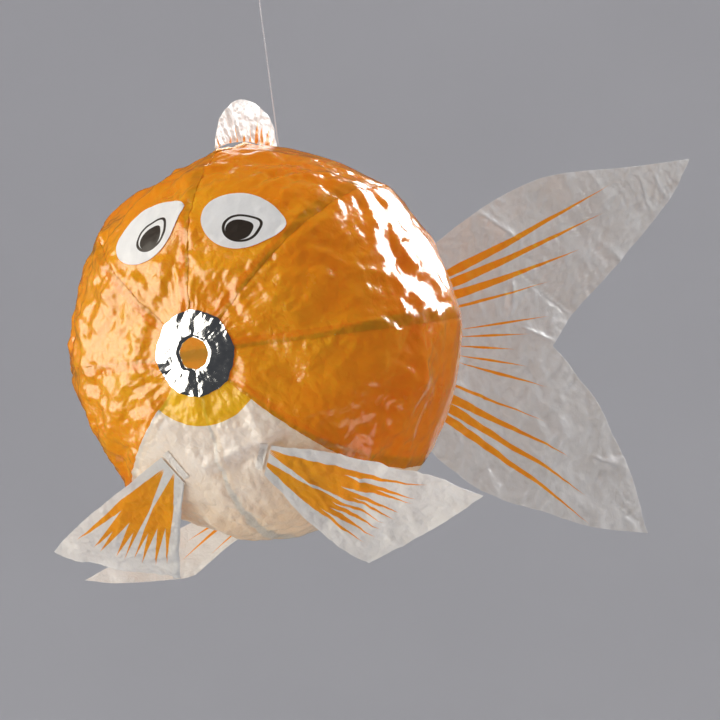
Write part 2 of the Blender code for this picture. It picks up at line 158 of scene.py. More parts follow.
def direction(azimuth, elevation):
    """The way from the fish to something beside it: 0 is in front, and it turns towards the fish's left."""
    level = math.cos(elevation)
    return Vector((math.sin(azimuth) * level, -math.cos(azimuth) * level, math.sin(elevation)))


def make_camera():
    """A long lens, a little above the fish and turned 24 degrees to its left side."""
    azimuth, roll = CAMERA_AZIMUTH, CAMERA_ROLL
    back = direction(azimuth, CAMERA_ELEVATION)
    level = Vector((math.cos(azimuth), math.sin(azimuth), 0))
    upright = back.cross(level)
    right = level * math.cos(roll) - upright * math.sin(roll)
    up = level * math.sin(roll) + upright * math.cos(roll)
    data = bpy.data.cameras.new("camera")
    data.lens = CAMERA_LENS
    data.clip_start, data.clip_end = 0.05, 20
    camera = bpy.data.objects.new("camera", data)
    bpy.context.scene.collection.objects.link(camera)
    place = Vector(BODY_CENTRE) + back * CAMERA_DISTANCE + right * CAMERA_AIM_RIGHT + up * CAMERA_AIM_UP
    axes = Matrix((right, up, back)).transposed().to_4x4()
    camera.matrix_world = Matrix.Translation(place) @ axes
    bpy.context.scene.camera = camera


# --- numbers and noise


def smoothstep(low, high, value):
    share = np.clip((value - low) / (high - low), 0, 1)
    return share * share * (3 - 2 * share)


def bell(value, centre, width):
    return np.exp(-(((value - centre) / width) ** 2))


def shares(count):
    return np.linspace(0, 1, count)


def turns(count):
    """Angles evenly round a circle."""
    return 2 * math.pi * shares(count + 1)[:-1]


def stacked(*parts):
    """Numbers that belong together, as points: arrays of like shape become one with a last axis."""
    return np.stack(np.broadcast_arrays(*parts), -1)


def on_ring(around, reach, height=0.0):
    """Points on a ring, so that noise taken there closes up round the body."""
    return stacked(np.cos(around) * reach, np.sin(around) * reach, height)


def to_line(points, first, last):
    """How far along a line points are, as a share of it, and how far away from it."""
    run = last - first
    share = np.clip((points - first) @ run / (run @ run), 0, 1)
    return share, norm(points - first - share[..., None] * run, axis=-1)


def smooth_noise(points, seed):
    """Smooth noise of about -1 to 1 at points (..., 3), with a cell size of 1."""
    draw = np.random.default_rng(seed)
    table = np.concatenate([draw.permutation(256)] * 2)
    slopes = draw.normal(size=(256, 3))
    slopes /= norm(slopes, axis=1)[:, None]
    cell = np.floor(points).astype(int)
    inside = points - cell
    ease = inside**3 * (inside * (inside * 6 - 15) + 10)
    total = np.zeros(points.shape[:-1])
    for corner in np.ndindex(2, 2, 2):
        spot = (cell + corner) % 256
        index = table[(table[(table[spot[..., 0]] + spot[..., 1]) % 256] + spot[..., 2]) % 256]
        weight = np.prod(np.where(corner, ease, 1 - ease), axis=-1)
        total += weight * np.sum(slopes[index] * (inside - corner), axis=-1)
    return total * 1.6


def creases(points, seed, sharp=1.0):
    """Folds of 0 to 1: flat faces that meet in sharp lines, half of them ridges and half valleys."""
    first = np.abs(smooth_noise(points, seed))
    second = np.abs(smooth_noise(points * 0.83 + 7.3, seed + 1))
    return (1 - first) ** sharp - (1 - second) ** sharp


FOLD_DIRECTIONS = 6


def crumple(points, size, seed):
    """Crumpled paper at a size in metres, about -1 to 1: flat faces between sharp folds, which run in
    random directions, bend a little, and come and go."""
    draw = np.random.default_rng(seed)
    total = np.zeros(points.shape[:-1])
    for fold in range(FOLD_DIRECTIONS):
        across = draw.normal(size=3)
        across /= norm(across)
        spacing = size * draw.uniform(0.9, 1.7)
        bend = 0.55 * smooth_noise(points / (size * 1.8) + draw.uniform(0, 50, 3), seed + fold)
        place = points @ across / spacing + draw.uniform(0, 1) + bend
        presence = smooth_noise(points / (size * 1.5) + draw.uniform(0, 50, 3), seed + 40 + fold)
        strength = smoothstep(-0.15, 0.35, presence)
        total += strength * (4 * np.abs(place - np.floor(place) - 0.5) - 1)
    return total / math.sqrt(FOLD_DIRECTIONS)


# --- body surface


def meridian(angle):
    """(y, radius) of the body's outline at angles from the nose: 0 at the mouth, pi at the tail."""
    along, across = np.cos(angle), np.abs(np.sin(angle))
    nose = along > 0
    length = np.where(nose, NOSE_LENGTH, STERN_LENGTH)
    fullness = np.where(nose, NOSE_FULLNESS, STERN_FULLNESS)
    reach = (np.abs(along) / length) ** fullness + (across / BODY_RADIUS) ** fullness
    reach = reach ** (-1 / fullness)
    radius = reach * across
    dimple = np.where(nose, MOUTH_DIMPLE * np.exp(-((radius / DIMPLE_WIDTH) ** 2)), 0)
    return -reach * along + dimple, radius


def facet(around):
    off_middle = (around % GORE_ANGLE) - GORE_ANGLE / 2
    flat = np.cos(GORE_ANGLE / 2) / np.cos(off_middle)
    return GORE_ROUNDNESS + (1 - GORE_ROUNDNESS) * flat


def raw_skin(angle, around):
    y, radius = meridian(angle)
    radius = radius * facet(around)
    return stacked(radius * np.sin(around), y + 0 * around, radius * np.cos(around))


def skin_normal(angle, around):
    step = 1e-3
    along = raw_skin(angle + step, around) - raw_skin(angle - step, around)
    across = stacked(np.cos(around), 0 * around, -np.sin(around))
    normal = np.cross(across, along)
    size = norm(normal, axis=-1, keepdims=True)
    pole = stacked(0 * angle, -np.cos(angle), 0 * angle)
    return np.where(size > 1e-9, normal / np.maximum(size, 1e-9), pole)


HALVINGS = 45


def halving(low, high, before):
    """The angles between low and high where before(angle) stops being true."""
    for _ in range(HALVINGS):
        middle = (low + high) / 2
        below = before(middle)
        low, high = np.where(below, middle, low), np.where(below, high, middle)
    return (low + high) / 2


def angle_at_radius(radius, nose=True):
    low, high = np.full(np.shape(radius), 0.0 if nose else math.pi), np.full(np.shape(radius), math.pi / 2)
    return halving(low, high, lambda angle: meridian(angle)[1] < radius)


def angle_at_y(y):
    return halving(np.zeros(np.shape(y)), np.full(np.shape(y), math.pi), lambda angle: meridian(angle)[0] < y)


ARC_ANGLES = np.linspace(0, math.pi, 1500)
ARC_STEPS = np.hypot(*[np.diff(part) for part in meridian(ARC_ANGLES)])
ARC_LENGTHS = np.concatenate([[0], np.cumsum(ARC_STEPS)])


def arc(angle):
    """Distance along the paper from the mouth."""
    return np.interp(angle, ARC_ANGLES, ARC_LENGTHS)


def angle_at_arc(length):
    return np.interp(length, ARC_LENGTHS, ARC_ANGLES)


# --- the crumpled paper's relief


def pleats(angle, around, count, length, seed, sharp=1.0):
    """Folds that run from mouth to tail: count cells round the body, each about this long."""
    ring, length_along = count / (2 * math.pi), arc(angle) / length
    wander = 0.35 * smooth_noise(on_ring(around, 2, length_along * 1.3), seed + 9)
    turn = around + wander * 2 * math.pi / count
    return creases(on_ring(turn, ring, length_along), seed, sharp)


def hoops(angle, around, count, width, seed):
    """Folds that run round the body."""
    wander = 0.5 * smooth_noise(on_ring(around, 3, arc(angle) / width / 4), seed + 9)
    return creases(on_ring(around, count / (2 * math.pi), arc(angle) / width + wander), seed)


def eye_middle(side):
    return angle_at_radius(EYE_PLACE), side * EYE_AROUND


def calm(point):
    """Where a glued patch stiffens the paper: 1 under the eyes, 0 away from them."""
    total = 0
    for side in (LEFT, RIGHT):
        away = norm(point - raw_skin(*eye_middle(side)), axis=-1)
        total = total + smoothstep(22 * MM, 13 * MM, away)
    return np.clip(total, 0, 1)


def off_seam(around):
    return (around + GORE_ANGLE / 2) % GORE_ANGLE - GORE_ANGLE / 2


def seam_distance(angle, around):
    """How far a point is from the nearest seam, along the paper."""
    return np.abs(off_seam(around)) * meridian(angle)[1]


def seam_puckers(angle, around):
    """Short folds across each seam, where the glued edge has drawn in."""
    away = seam_distance(angle, around)
    across = away / (9 * MM) + np.sign(off_seam(around)) * 3
    points = stacked(arc(angle) / (3.2 * MM), across, np.round(around / GORE_ANGLE) * 5.3)
    return creases(points, 41) * np.exp(-((away / (7 * MM)) ** 2))


def fold_along(point, ends, depth, width):
    """A straight folded line between two points: a ridge of this height, falling off over the width."""
    share, away = to_line(point, *[np.array(end) * MM for end in ends])
    taper = smoothstep(0, 0.2, share) * smoothstep(1, 0.8, share)
    return depth * np.exp(-away / width) * (0.35 + 0.65 * taper)


# Single folds, in mm from the body's centre: (ends, height, width).
BELLY_FOLDS = [
    (((-24, -62, -50), (7, -69, -43)), 2.6, 3.2),
    (((5, -69, -43), (34, -66, -34)), 3.2, 3.2),
    (((-22, -60, -56), (6, -67, -49)), -2.2, 2.6),
    (((6, -67, -49), (36, -63, -39)), -2.8, 2.6),
    (((-4, -62, -56), (3, -52, -72)), 0.8, 1.4),
    (((-17, -66, -38), (-20, -62, -50)), -0.6, 1.3),
]
FLANK_FOLDS = [
    (((16, -72, 22), (24, -71, 8)), -1.1, 1.8),
    (((20, -71, 24), (30, -70, 4)), 1.0, 1.6),
    (((-12, -72, 24), (-6, -72, 38)), -1.0, 1.6),
    (((-18, -71, 20), (-10, -71, 34)), 0.9, 1.8),
    (((-58, -52, 20), (-60, -50, -22)), 0.9, 1.6),
    (((-52, -58, 8), (-54, -56, -30)), 0.7, 1.4),
    (((60, -50, -34), (44, -58, -48)), 1.0, 2.0),
    (((70, -40, 6), (72, -38, 22)), 0.5, 1.6),
    (((62, -38, -60), (70, 0, -44)), 0.6, 2.4),
]


def under_right_fin(point):
    """How near the skin is to the fold of the right pectoral fin, which lies almost flat on it."""
    gap = to_line(point, *pectoral_frame(RIGHT)[:2])[1]
    return smoothstep(17 * MM, 10 * MM, gap)


# Folds from mouth to tail, in mm: (how many, length, seed, sharpness, height, distance from mouth, spread).
PLEATS = [
    (46, 11, 3, 0.8, 0.55, 24, 11),
    (40, 15, 13, 1.0, 0.60, 42, 17),
    (62, 22, 23, 1.0, 0.45, 74, 20),
]
# Crumples, in mm: (size, seed, height, more where the paper shines, more on the white paper).
CRUMPLES = [
    (22, 61, 2.0, 0.5, 0),
    (10.5, 71, 1.2, 0.2, 0),
    (4.6, 81, 0.36, 0.1, 0.15),
]


def relief(angle, around):
    """Height of the crumpled paper over the smooth body."""
    point = raw_skin(angle, around)
    y, radius = meridian(angle)
    radius = radius + 0 * around
    length = arc(angle)
    nose = smoothstep(15 * MM, -45 * MM, point[..., 1])
    stern = smoothstep(10 * MM, 60 * MM, point[..., 1])
    side = 1 - np.maximum(nose, stern)
    white = smoothstep(-0.55, -0.8, np.cos(around))

    height = 0
    for count, long, seed, sharp, tall, centre, spread in PLEATS:
        fold = tall * MM * pleats(angle, around, count, long * MM, seed, sharp)
        height = height + fold * bell(length, centre * MM, spread * MM)
    height += 0.40 * MM * hoops(angle, around, 15, 6.5 * MM, 33) * bell(length, 88 * MM, 17 * MM)
    stern_pleats = pleats(angle, around, 44, 20 * MM, 53) * smoothstep(60 * MM, 20 * MM, radius) * stern
    height += 0.55 * MM * stern_pleats
    rough = nose + 0.12 * side + 0.30 * stern + 0.35 * white * side
    shine = smoothstep(-32 * MM, -24 * MM, point[..., 1]) * bell(around, math.radians(66), math.radians(24))
    for size, seed, tall, on_shine, on_white in CRUMPLES:
        height += (rough + on_shine * shine + on_white * white) * tall * MM * crumple(point, size * MM, seed)
    height += (0.35 + 0.65 * nose) * 0.42 * MM * seam_puckers(angle, around)
    height += 0.8 * MM * smooth_noise(point / (34 * MM), 91) * smoothstep(10 * MM, 60 * MM, length)
    hollow = np.exp(-seam_distance(angle, around) / (2.2 * MM))
    height -= 0.35 * MM * hollow * smoothstep(15 * MM, 40 * MM, length)
    folds = 0
    for ends, depth, width in BELLY_FOLDS + FLANK_FOLDS:
        folds = folds + fold_along(point, ends, depth * MM, width * MM)
    height = (height * (1 - 0.75 * calm(point)) + folds) * (1 - 0.9 * under_right_fin(point))
    flat = 0.25 + 0.75 * smoothstep(FOIL_RADIUS - 4 * MM, FOIL_RADIUS + 6 * MM, np.where(y < 0, radius, 1))
    flat = flat * smoothstep(1 * MM, 12 * MM, np.where(y > 0, radius, 1))
    mouth = np.where(y < 0, MOUTH_LIP * np.exp(-((radius / DIMPLE_WIDTH) ** 2)), 0)
    return height * flat + mouth


def paper_skin(angle, around, lift=0.0):
    """Points of the crumpled skin and the smooth normals under them, in the world."""
    angle, around = np.broadcast_arrays(np.asarray(angle, float), np.asarray(around, float))
    normal = skin_normal(angle, around)
    height = relief(angle, around) + lift
    return raw_skin(angle, around) + normal * height[..., None] + BODY_CENTRE, normal


# --- mesh building


def link(obj):
    bpy.context.scene.collection.objects.link(obj)
    return obj


def fast_mesh(name, points, quads):
    mesh = bpy.data.meshes.new(name)
    mesh.vertices.add(len(points))
    mesh.vertices.foreach_set("co", np.ascontiguousarray(points, np.float32).ravel())
    mesh.loops.add(quads.size)
    mesh.loops.foreach_set("vertex_index", quads.astype(np.int32).ravel())
    mesh.polygons.add(len(quads))
    mesh.polygons.foreach_set("loop_start", np.arange(0, quads.size, 4, dtype=np.int32))
    mesh.polygons.foreach_set("loop_total", np.full(len(quads), 4, np.int32))
    mesh.update(calc_edges=True)
    mesh.validate()
    return mesh


def sheet(name, points, outward, material, body, slot, node, thickness=SHEET, wrap=False, flat=None):
    """A thin closed sheet as a piece: a grid of points, a second one under it, and the rims between them."""
    rows, columns = points.shape[:2]
    under = points - outward * thickness
    index = np.arange(rows * columns).reshape(rows, columns)
    if wrap:
        index = np.concatenate([index, index[:, :1]], axis=1)
    top = stacked(index[:-1, :-1], index[:-1, 1:], index[1:, 1:], index[1:, :-1]).reshape(-1, 4)
    count = rows * columns
    rims = [(index[0, 1:], index[0, :-1]), (index[-1, :-1], index[-1, 1:])]
    if not wrap:
        rims += [(index[:-1, 0], index[1:, 0]), (index[1:, -1], index[:-1, -1])]
    quads = [top, top[:, ::-1] + count]
    quads += [stacked(first, last, last + count, first + count) for first, last in rims]
    quads = np.concatenate(quads)
    middle = top[len(top) // 2]
    corners = points.reshape(-1, 3)[middle]
    facing = np.cross(corners[1] - corners[0], corners[2] - corners[0])
    if facing @ outward.reshape(-1, 3)[middle[0]] < 0:
        quads = quads[:, ::-1]
    mesh = fast_mesh(name, np.concatenate([points.reshape(-1, 3), under.reshape(-1, 3)]), quads)
    if flat is not None:
        flat = flat.reshape(-1, 3)
        both = np.concatenate([flat, flat + (0, 0, 1)]).astype(np.float32)
        layer = mesh.attributes.new("flat", "FLOAT_VECTOR", "POINT")
        layer.data.foreach_set("vector", both.ravel())
    mesh.shade_smooth()
    mesh.set_sharp_from_angle(angle=math.radians(70))
    return piece(name, mesh, material, body, slot, node)


def piece(name, data, material, body, slot, *replaced):
    """Puts a finished piece in the scene, on its body and in place of its CAD nodes."""
    data.materials.append(material)
    obj = link(bpy.data.objects.new(name, data))
    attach(obj, body)
    if replaced:
        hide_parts(*replaced)
    return obj


# --- materials


class Nodes:
    """Short calls for building a material's node tree."""

    def __init__(self, name):
        self.material = bpy.data.materials.new(name)
        self.material.use_nodes = True
        self.tree = self.material.node_tree
        self.shader = self.tree.nodes["Principled BSDF"]

    def put(self, socket, value):
        if isinstance(value, bpy.types.NodeSocket):
            self.tree.links.new(value, socket)
        else:
            socket.default_value = value

    def set(self, **values):
        """Sets inputs of the surface shader, with _ for each space in a name."""
        for key, value in values.items():
            self.put(self.shader.inputs[key.replace("_", " ")], value)

    def add(self, kind, inputs=(), **settings):
        """A new node with these settings, and values or links on its inputs, by place or by name."""
        node = self.tree.nodes.new("ShaderNode" + kind)
        for key, value in settings.items():
            setattr(node, key, value)
        for key, value in inputs.items() if isinstance(inputs, dict) else enumerate(inputs):
            self.put(node.inputs[key], value)
        return node

    def math(self, operation, *values, clamp=False):
        return self.add("Math", values, operation=operation, use_clamp=clamp).outputs[0]

    def vector_math(self, operation, *values):
        outputs = self.add("VectorMath", values, operation=operation).outputs
        return outputs["Value" if operation in ("DOT_PRODUCT", "LENGTH") else "Vector"]

    def place(self):
        return self.add("TexCoord").outputs["Object"]

    def flat(self):
        return self.add("Attribute", attribute_name="flat").outputs["Vector"]

    def noise(self, vector, scale, detail=2.0, roughness=0.5, distortion=0.0):
        inputs = {"Vector": vector, "Scale": scale, "Detail": detail, "Roughness": roughness,
                  "Distortion": distortion}
        return self.add("TexNoise", inputs).outputs["Fac"]

    def ramp(self, value, low, high, out_low=0.0, out_high=1.0):
        return self.add("MapRange", (value, low, high, out_low, out_high)).outputs["Result"]

    def clouds(self, noise, out_low=0.0, out_high=1.0):
        """The middle of a noise's range, spread out."""
        return self.ramp(noise, 0.3, 0.7, out_low, out_high)

    def mix(self, factor, first, second):
        first, second = [(*colour, 1) if isinstance(colour, tuple) else colour for colour in (first, second)]
        return self.add("Mix", {0: factor, 6: first, 7: second}, data_type="RGBA").outputs[2]

    def oval(self, flat, shape, corner):
        """Distance in mm outside an oval whose upper right is drawn out to a corner."""
        middle_x, middle_y, half_long, half_high = shape
        offset = self.vector_math("SUBTRACT", flat, (middle_x, middle_y, 0))
        scaled = self.vector_math("MULTIPLY", offset, (1 / half_long, 1 / half_high, 0))
        reach = self.vector_math("LENGTH", scaled)
        towards = self.vector_math("DOT_PRODUCT", scaled, (0.80, 0.60, 0))
        aim = self.math("MAXIMUM", self.math("DIVIDE", towards, reach), 0)
        limit = self.math("MULTIPLY_ADD", self.math("POWER", aim, 9), corner, 1)
        return self.math("MULTIPLY", self.math("SUBTRACT", reach, limit), min(half_long, half_high))

    def creased(self, place, strength):
        """Fine sharp folds as a bump: lines where two smooth noises change sides."""
        height = None
        for scale, share in ((130, 1.0), (290, 0.55), (700, 0.22)):
            swing = self.math("ABSOLUTE", self.math("SUBTRACT", self.noise(place, scale, 1.0, 0.5, 0.4), 0.5))
            part = self.math("MULTIPLY", swing, share)
            height = part if height is None else self.math("ADD", height, part)
        self.bump(self.math("MULTIPLY", height, strength), 2.2 * MM)

    def bump(self, height, distance, strength=1.0):
        bump = self.add("Bump", {"Height": height, "Distance": distance, "Strength": strength})
        self.set(Normal=bump.outputs["Normal"])


# Eye print in mm from the sticker's middle: (x, y, half length, half height), and half the ring's stroke.
EYE_RING = (2.0, -3.9, 8.2, 6.3)
EYE_PUPIL = (1.3, -4.8, 5.8, 4.6)
RING_STROKE = 0.5

# Printed fin rays in mm on the flat paper: (foot's x, y, tip's x, y, half width, share of the length at the
# widest, bend).
TAIL_RAYS = [
    (22, 14, 133, 75.5, 2.1, 0.3, 3), (20, 10, 130.5, 62, 2.2, 0.3, 3), (16, 6, 118.5, 44, 2.3, 0.3, 4),
    (24, 5, 103.5, 28, 0.75, 0.5, 2), (52, 2, 103.5, 11.6, 0.6, 0.5, 0), (52, -1, 92.5, 2.6, 0.6, 0.5, 0),
    (52, -5, 85, -5, 0.6, 0.5, 0), (52, -9, 92.5, -12.6, 0.6, 0.5, 0),
    (52, -12, 103.5, -21.6, 0.75, 0.5, 0), (24, -16, 103.5, -38, 0.8, 0.5, -2),
    (16, -18, 118.5, -54, 2.3, 0.3, -4), (20, -20, 130.5, -72, 2.2, 0.3, -3),
    (22, -24, 133, -85.5, 2.1, 0.3, -3),
]
PECTORAL_RAYS = {
    LEFT: [
        (-2, -4.7, 61.3, -23.5, 1.9, 0.4, 0), (-2, -4.5, 60.2, -15.4, 2.6, 0.45, 0),
        (-2, -4.3, 60, -12.1, 2.6, 0.455, 0), (-2, -4, 57.9, -4, 2.6, 0.45, 0),
        (-2, -3.5, 57.9, -0.1, 1.9, 0.45, 0), (-4, 1, 55.3, 4, 1.7, 0.4, 0),
        (-4, 1, 55.2, 8.5, 2.1, 0.45, 0), (-4, 1, 55.3, 13.6, 2.1, 0.45, 0),
        (-4, 1, 52.3, 18, 1.7, 0.4, 0),
    ],
    RIGHT: [
        (3, -3.8, 71.9, -19.2, 1.9, 0.4, 0), (3, -3.6, 71.4, -11.3, 2.3, 0.45, 0),
        (3, -3.4, 72.3, -8, 2.3, 0.45, 0), (3, -3.2, 69.4, -1, 2.3, 0.45, 0),
        (3, -3, 68.2, 2.6, 1.4, 0.4, 0), (1, 1, 63.9, 6, 1.7, 0.4, 0), (1, 1, 65, 9.9, 2.0, 0.45, 0),
        (1, 1.2, 62, 15.3, 2.0, 0.45, 0), (1, 1.4, 56.4, 19.1, 1.7, 0.4, 0),
    ],
}
VENTRAL_RAYS = [
    (46, -10, 73, -6.9, 0.9, 0.3, 0), (40, -10, 79, 0.4, 0.9, 0.4, 2), (30, -6, 66, 4, 0.7, 0.4, 0),
]
# Dorsal strokes fan out from the middle of the fold: (y, z) in mm from the body's centre.
DORSAL_RAYS = [
    (-26, 76, -27.5, 89, 1.5, 0.3, 0), (-20, 78, -21.5, 88, 1.5, 0.3, 0), (-14, 80, -15, 92, 1.5, 0.3, 0),
    (-8, 81, -8, 93, 1.5, 0.3, 0), (-2, 82, -1, 92, 1.5, 0.3, 0), (4, 83, 6, 93, 1.5, 0.3, 0),
    (9, 83, 13, 96, 1.5, 0.3, 0), (14, 83, 19, 93, 1.4, 0.3, 0), (18, 82, 25, 93, 1.5, 0.3, 0),
    (23, 81, 29, 88, 1.5, 0.3, 0),
]

# Painted light: this and the next are the lighter, yellower oranges given to the brightly lit front of the
# body; the matt strip on the back also uses the next one.
LIT_FRONT_ORANGE = (0.98, 0.43, 0.012)
FRONT_DEEP = (0.97, 0.36, 0.007)
THROAT_ORANGE = (0.98, 0.50, 0.020)
# Painted shade, with a painted orange glow from the light through the body: the tan of the lower belly, which
# faces down away from the lamps.
SHADED_BELLY_TAN = (0.86, 0.62, 0.42)
ORANGE = (0.95, 0.29, 0.005)
DEEP_ORANGE = (0.93, 0.24, 0.004)
WHITE = (0.94, 0.87, 0.80)
WARM_WHITE = (0.90, 0.74, 0.60)
INK_ORANGE = (0.88, 0.33, 0.008)
INK_BLACK = (0.030, 0.020, 0.014)
EYE_WHITE = (0.90, 0.89, 0.88)
GLASSINE_GREY = (0.66, 0.65, 0.64)
GLASSINE_DEEP = (0.55, 0.54, 0.53)
FIN_WHITE = (0.74, 0.73, 0.71)
FIN_SHADE = (0.66, 0.64, 0.61)
DORSAL_WHITE = (0.76, 0.75, 0.73)
INSIDE_ORANGE = (0.85, 0.58, 0.20)
# Painted shade: the deeper orange where two gores lap, for light from inside that the double paper holds
# back.
LAP_SHADE_ORANGE = (0.86, 0.18, 0.003)
STRIP_CREAM = (0.98, 0.88, 0.78)
STRIP_DEEP = (0.97, 0.84, 0.72)
FOIL_LIGHT = (0.86, 0.87, 0.89)
FOIL_DEEP = (0.78, 0.79, 0.81)
THREAD_LIGHT = (0.92, 0.92, 0.94)
THREAD_DEEP = (0.80, 0.81, 0.84)
STUDIO_LIGHT = (0.62, 0.62, 0.65)
STUDIO_DEEP = (0.60, 0.60, 0.63)


def paper_look(nodes, colour, deep, translucency, roughness, coat, through=(1.0, 0.94, 0.86), creased=1.0):
    """Glassine: mottled fibre, soft gloss with a harder calendered face, and light that goes through."""
    place = nodes.place()
    cloud = nodes.noise(place, 55, 3, 0.6)
    fibre = nodes.noise(place, 900, 2, 0.7)
    base = nodes.mix(nodes.clouds(cloud, 0.0, 0.5), colour, deep)
    base = nodes.mix(nodes.ramp(fibre, 0.5, 0.75, 0.0, 0.25), base, deep)
    nodes.set(Subsurface_Weight=translucency, Subsurface_Radius=through, Subsurface_Scale=0.5 * MM,
              Coat_Weight=coat, Coat_Roughness=0.07, Coat_IOR=1.8,
              Roughness=nodes.clouds(cloud, roughness - 0.05, roughness + 0.05))
    nodes.creased(place, creased)
    return base


def strokes(nodes, flat, lines):
    """How far inside printed strokes a point is, in mm. The width grows to the belly share of the length
    and then tapers to the tip."""
    best = None
    for foot_x, foot_y, tip_x, tip_y, half, belly, bend in lines:
        run = Vector((tip_x - foot_x, tip_y - foot_y, 0))
        length = run.length
        along, across = run / length, Vector((-run.y, run.x, 0)) / length
        offset = nodes.vector_math("SUBTRACT", flat, (foot_x, foot_y, 0))
        share = nodes.vector_math("DOT_PRODUCT", offset, tuple(along / length))
        away = nodes.vector_math("DOT_PRODUCT", offset, tuple(across))
        rest = nodes.math("SUBTRACT", 1, share)
        if bend:
            away = nodes.math("MULTIPLY_ADD", nodes.math("MULTIPLY", share, rest), bend, away)
        width = nodes.math("MULTIPLY", rest, half / (1 - belly))
        if belly:
            width = nodes.math("MINIMUM", width, nodes.math("MULTIPLY", share, half / belly))
        inside = nodes.math("SUBTRACT", width, nodes.math("ABSOLUTE", away))
        best = inside if best is None else nodes.math("MAXIMUM", best, inside)
    return best


def lapped(nodes, base, deep, strength):
    """Painted shade where two gores lap, for the light from inside that the double paper holds back, and
    paler on the unprinted inside. A gore's "flat" is (mm from its lapped edge, mm from the mouth, 1 on the
    inside)."""
    edge, _, inside = nodes.add("SeparateXYZ", [nodes.flat()]).outputs
    lap_shade = nodes.math("MULTIPLY", nodes.ramp(edge, 4.4, 3.9), strength)
    return nodes.mix(inside, nodes.mix(lap_shade, base, deep), INSIDE_ORANGE)


def orange_glassine():
    nodes = Nodes("orange_glassine")
    base = paper_look(nodes, ORANGE, DEEP_ORANGE, 1.0, 0.24, 0.8, (1.0, 0.6, 0.35))
    cloud = nodes.clouds(nodes.noise(nodes.place(), 40, 3))
    # Painted light: the front near the mouth gets a lighter, yellower orange, fading to the plain orange 45
    # to 105 mm back along the paper, for the brighter light that falls there.
    from_mouth = nodes.vector_math("DOT_PRODUCT", nodes.flat(), (0, 1, 0))
    patchy = nodes.math("MULTIPLY_ADD", cloud, 0.3, -0.15)
    side = nodes.math("ADD", nodes.ramp(from_mouth, 45, 105), patchy, clamp=True)
    base = nodes.mix(side, nodes.mix(cloud, LIT_FRONT_ORANGE, FRONT_DEEP), base)
    nodes.creased(nodes.place(), nodes.ramp(side, 0, 1, 0.50, 0.10))
    base = lapped(nodes, base, LAP_SHADE_ORANGE, 0.3)
    nodes.set(Base_Color=base, Coat_Roughness=nodes.ramp(side, 0, 1, 0.22, 0.07))
    return nodes.material


def belly_glassine():
    """White glassine with the orange throat printed round the mouth."""
    nodes = Nodes("belly_glassine")
    base = paper_look(nodes, WHITE, WARM_WHITE, 1.0, 0.34, 0.25, creased=0.5)
    offset = nodes.vector_math("SUBTRACT", nodes.place(), tuple(BODY_CENTRE))
    from_axis = nodes.vector_math("LENGTH", nodes.vector_math("MULTIPLY", offset, (1, 0, 1)))
    throat = nodes.ramp(from_axis, THROAT_RADIUS + 0.1 * MM, THROAT_RADIUS - 0.1 * MM)
    front = nodes.ramp(nodes.vector_math("DOT_PRODUCT", offset, (0, 1, 0)), 0, -1 * MM)
    throat = nodes.math("MULTIPLY", throat, front)
    from_mouth = nodes.vector_math("DOT_PRODUCT", nodes.flat(), (0, 1, 0))
    # Painted shade: the belly turns tan from 45 to 85 mm back from the mouth, where it faces down into shade.
    base = nodes.mix(nodes.ramp(from_mouth, 45, 85, 0, 0.75), base, SHADED_BELLY_TAN)
    # Painted shade along the laps of the white belly gores.
    base = lapped(nodes, base, WARM_WHITE, 0.6)
    nodes.set(Base_Color=nodes.mix(throat, base, THROAT_ORANGE))
    return nodes.material


def printed_glassine(name, colour, deep, lines, creased=0.35):
    """White fin paper with orange rays printed on it."""
    nodes = Nodes(name)
    base = paper_look(nodes, colour, deep, 0.8, 0.36, 0.2, creased=creased)
    ink = nodes.ramp(strokes(nodes, nodes.flat(), lines), -0.05, 0.05)
    nodes.set(Base_Color=nodes.mix(ink, base, INK_ORANGE))
    return nodes.material


def plain_glassine(name, colour, deep):
    nodes = Nodes(name)
    nodes.set(Base_Color=paper_look(nodes, colour, deep, 0.6, 0.38, 0.15))
    return nodes.material


def eye_paper():
    """Eye sticker: a ring with an upper corner, and a solid pupil low and forward in it."""
    nodes = Nodes("eye_paper")
    base = paper_look(nodes, EYE_WHITE, DORSAL_WHITE, 0.3, 0.5, 0.1, creased=0.1)
    ring = nodes.oval(nodes.flat(), EYE_RING, 0.22)
    pupil = nodes.oval(nodes.flat(), EYE_PUPIL, 0.18)
    stroke = nodes.math("SUBTRACT", RING_STROKE, nodes.math("ABSOLUTE", nodes.math("ADD", ring, RING_STROKE)))
    dark = nodes.math("MAXIMUM", nodes.ramp(stroke, -0.05, 0.05), nodes.ramp(pupil, 0.05, -0.05))
    nodes.set(Base_Color=nodes.mix(dark, base, INK_BLACK))
    return nodes.material


def silver_foil():
    nodes = Nodes("silver_foil")
    place = nodes.place()
    colour = nodes.mix(nodes.clouds(nodes.noise(place, 260, 3, 0.6)), FOIL_LIGHT, FOIL_DEEP)
    nodes.set(Metallic=1.0, Base_Color=colour, Roughness=nodes.clouds(nodes.noise(place, 700, 2), 0.08, 0.2))
    nodes.bump(nodes.noise(place, 500, 3, 0.7, 0.5), 0.015 * MM, 0.5)
    return nodes.material


def clear_thread():
    nodes = Nodes("clear_thread")
    streak = nodes.noise(nodes.vector_math("MULTIPLY", nodes.place(), (1, 1, 0.05)), 2500, 2)
    colour = nodes.mix(nodes.clouds(streak), THREAD_DEEP, THREAD_LIGHT)
    nodes.set(Base_Color=colour, Roughness=nodes.clouds(streak, 0.08, 0.2), Alpha=0.35)
    return nodes.material


# --- thread

# The thread's route, from its knot over the back up to the loop's knot.
THREAD_FOOT = -81.41 * MM
THREAD_TOP = -10.47 * MM
THREAD_POINTS = 24
LOOP_HALF_WIDTH = 3 * MM
LOOP_HALF_HEIGHT = 3.9 * MM


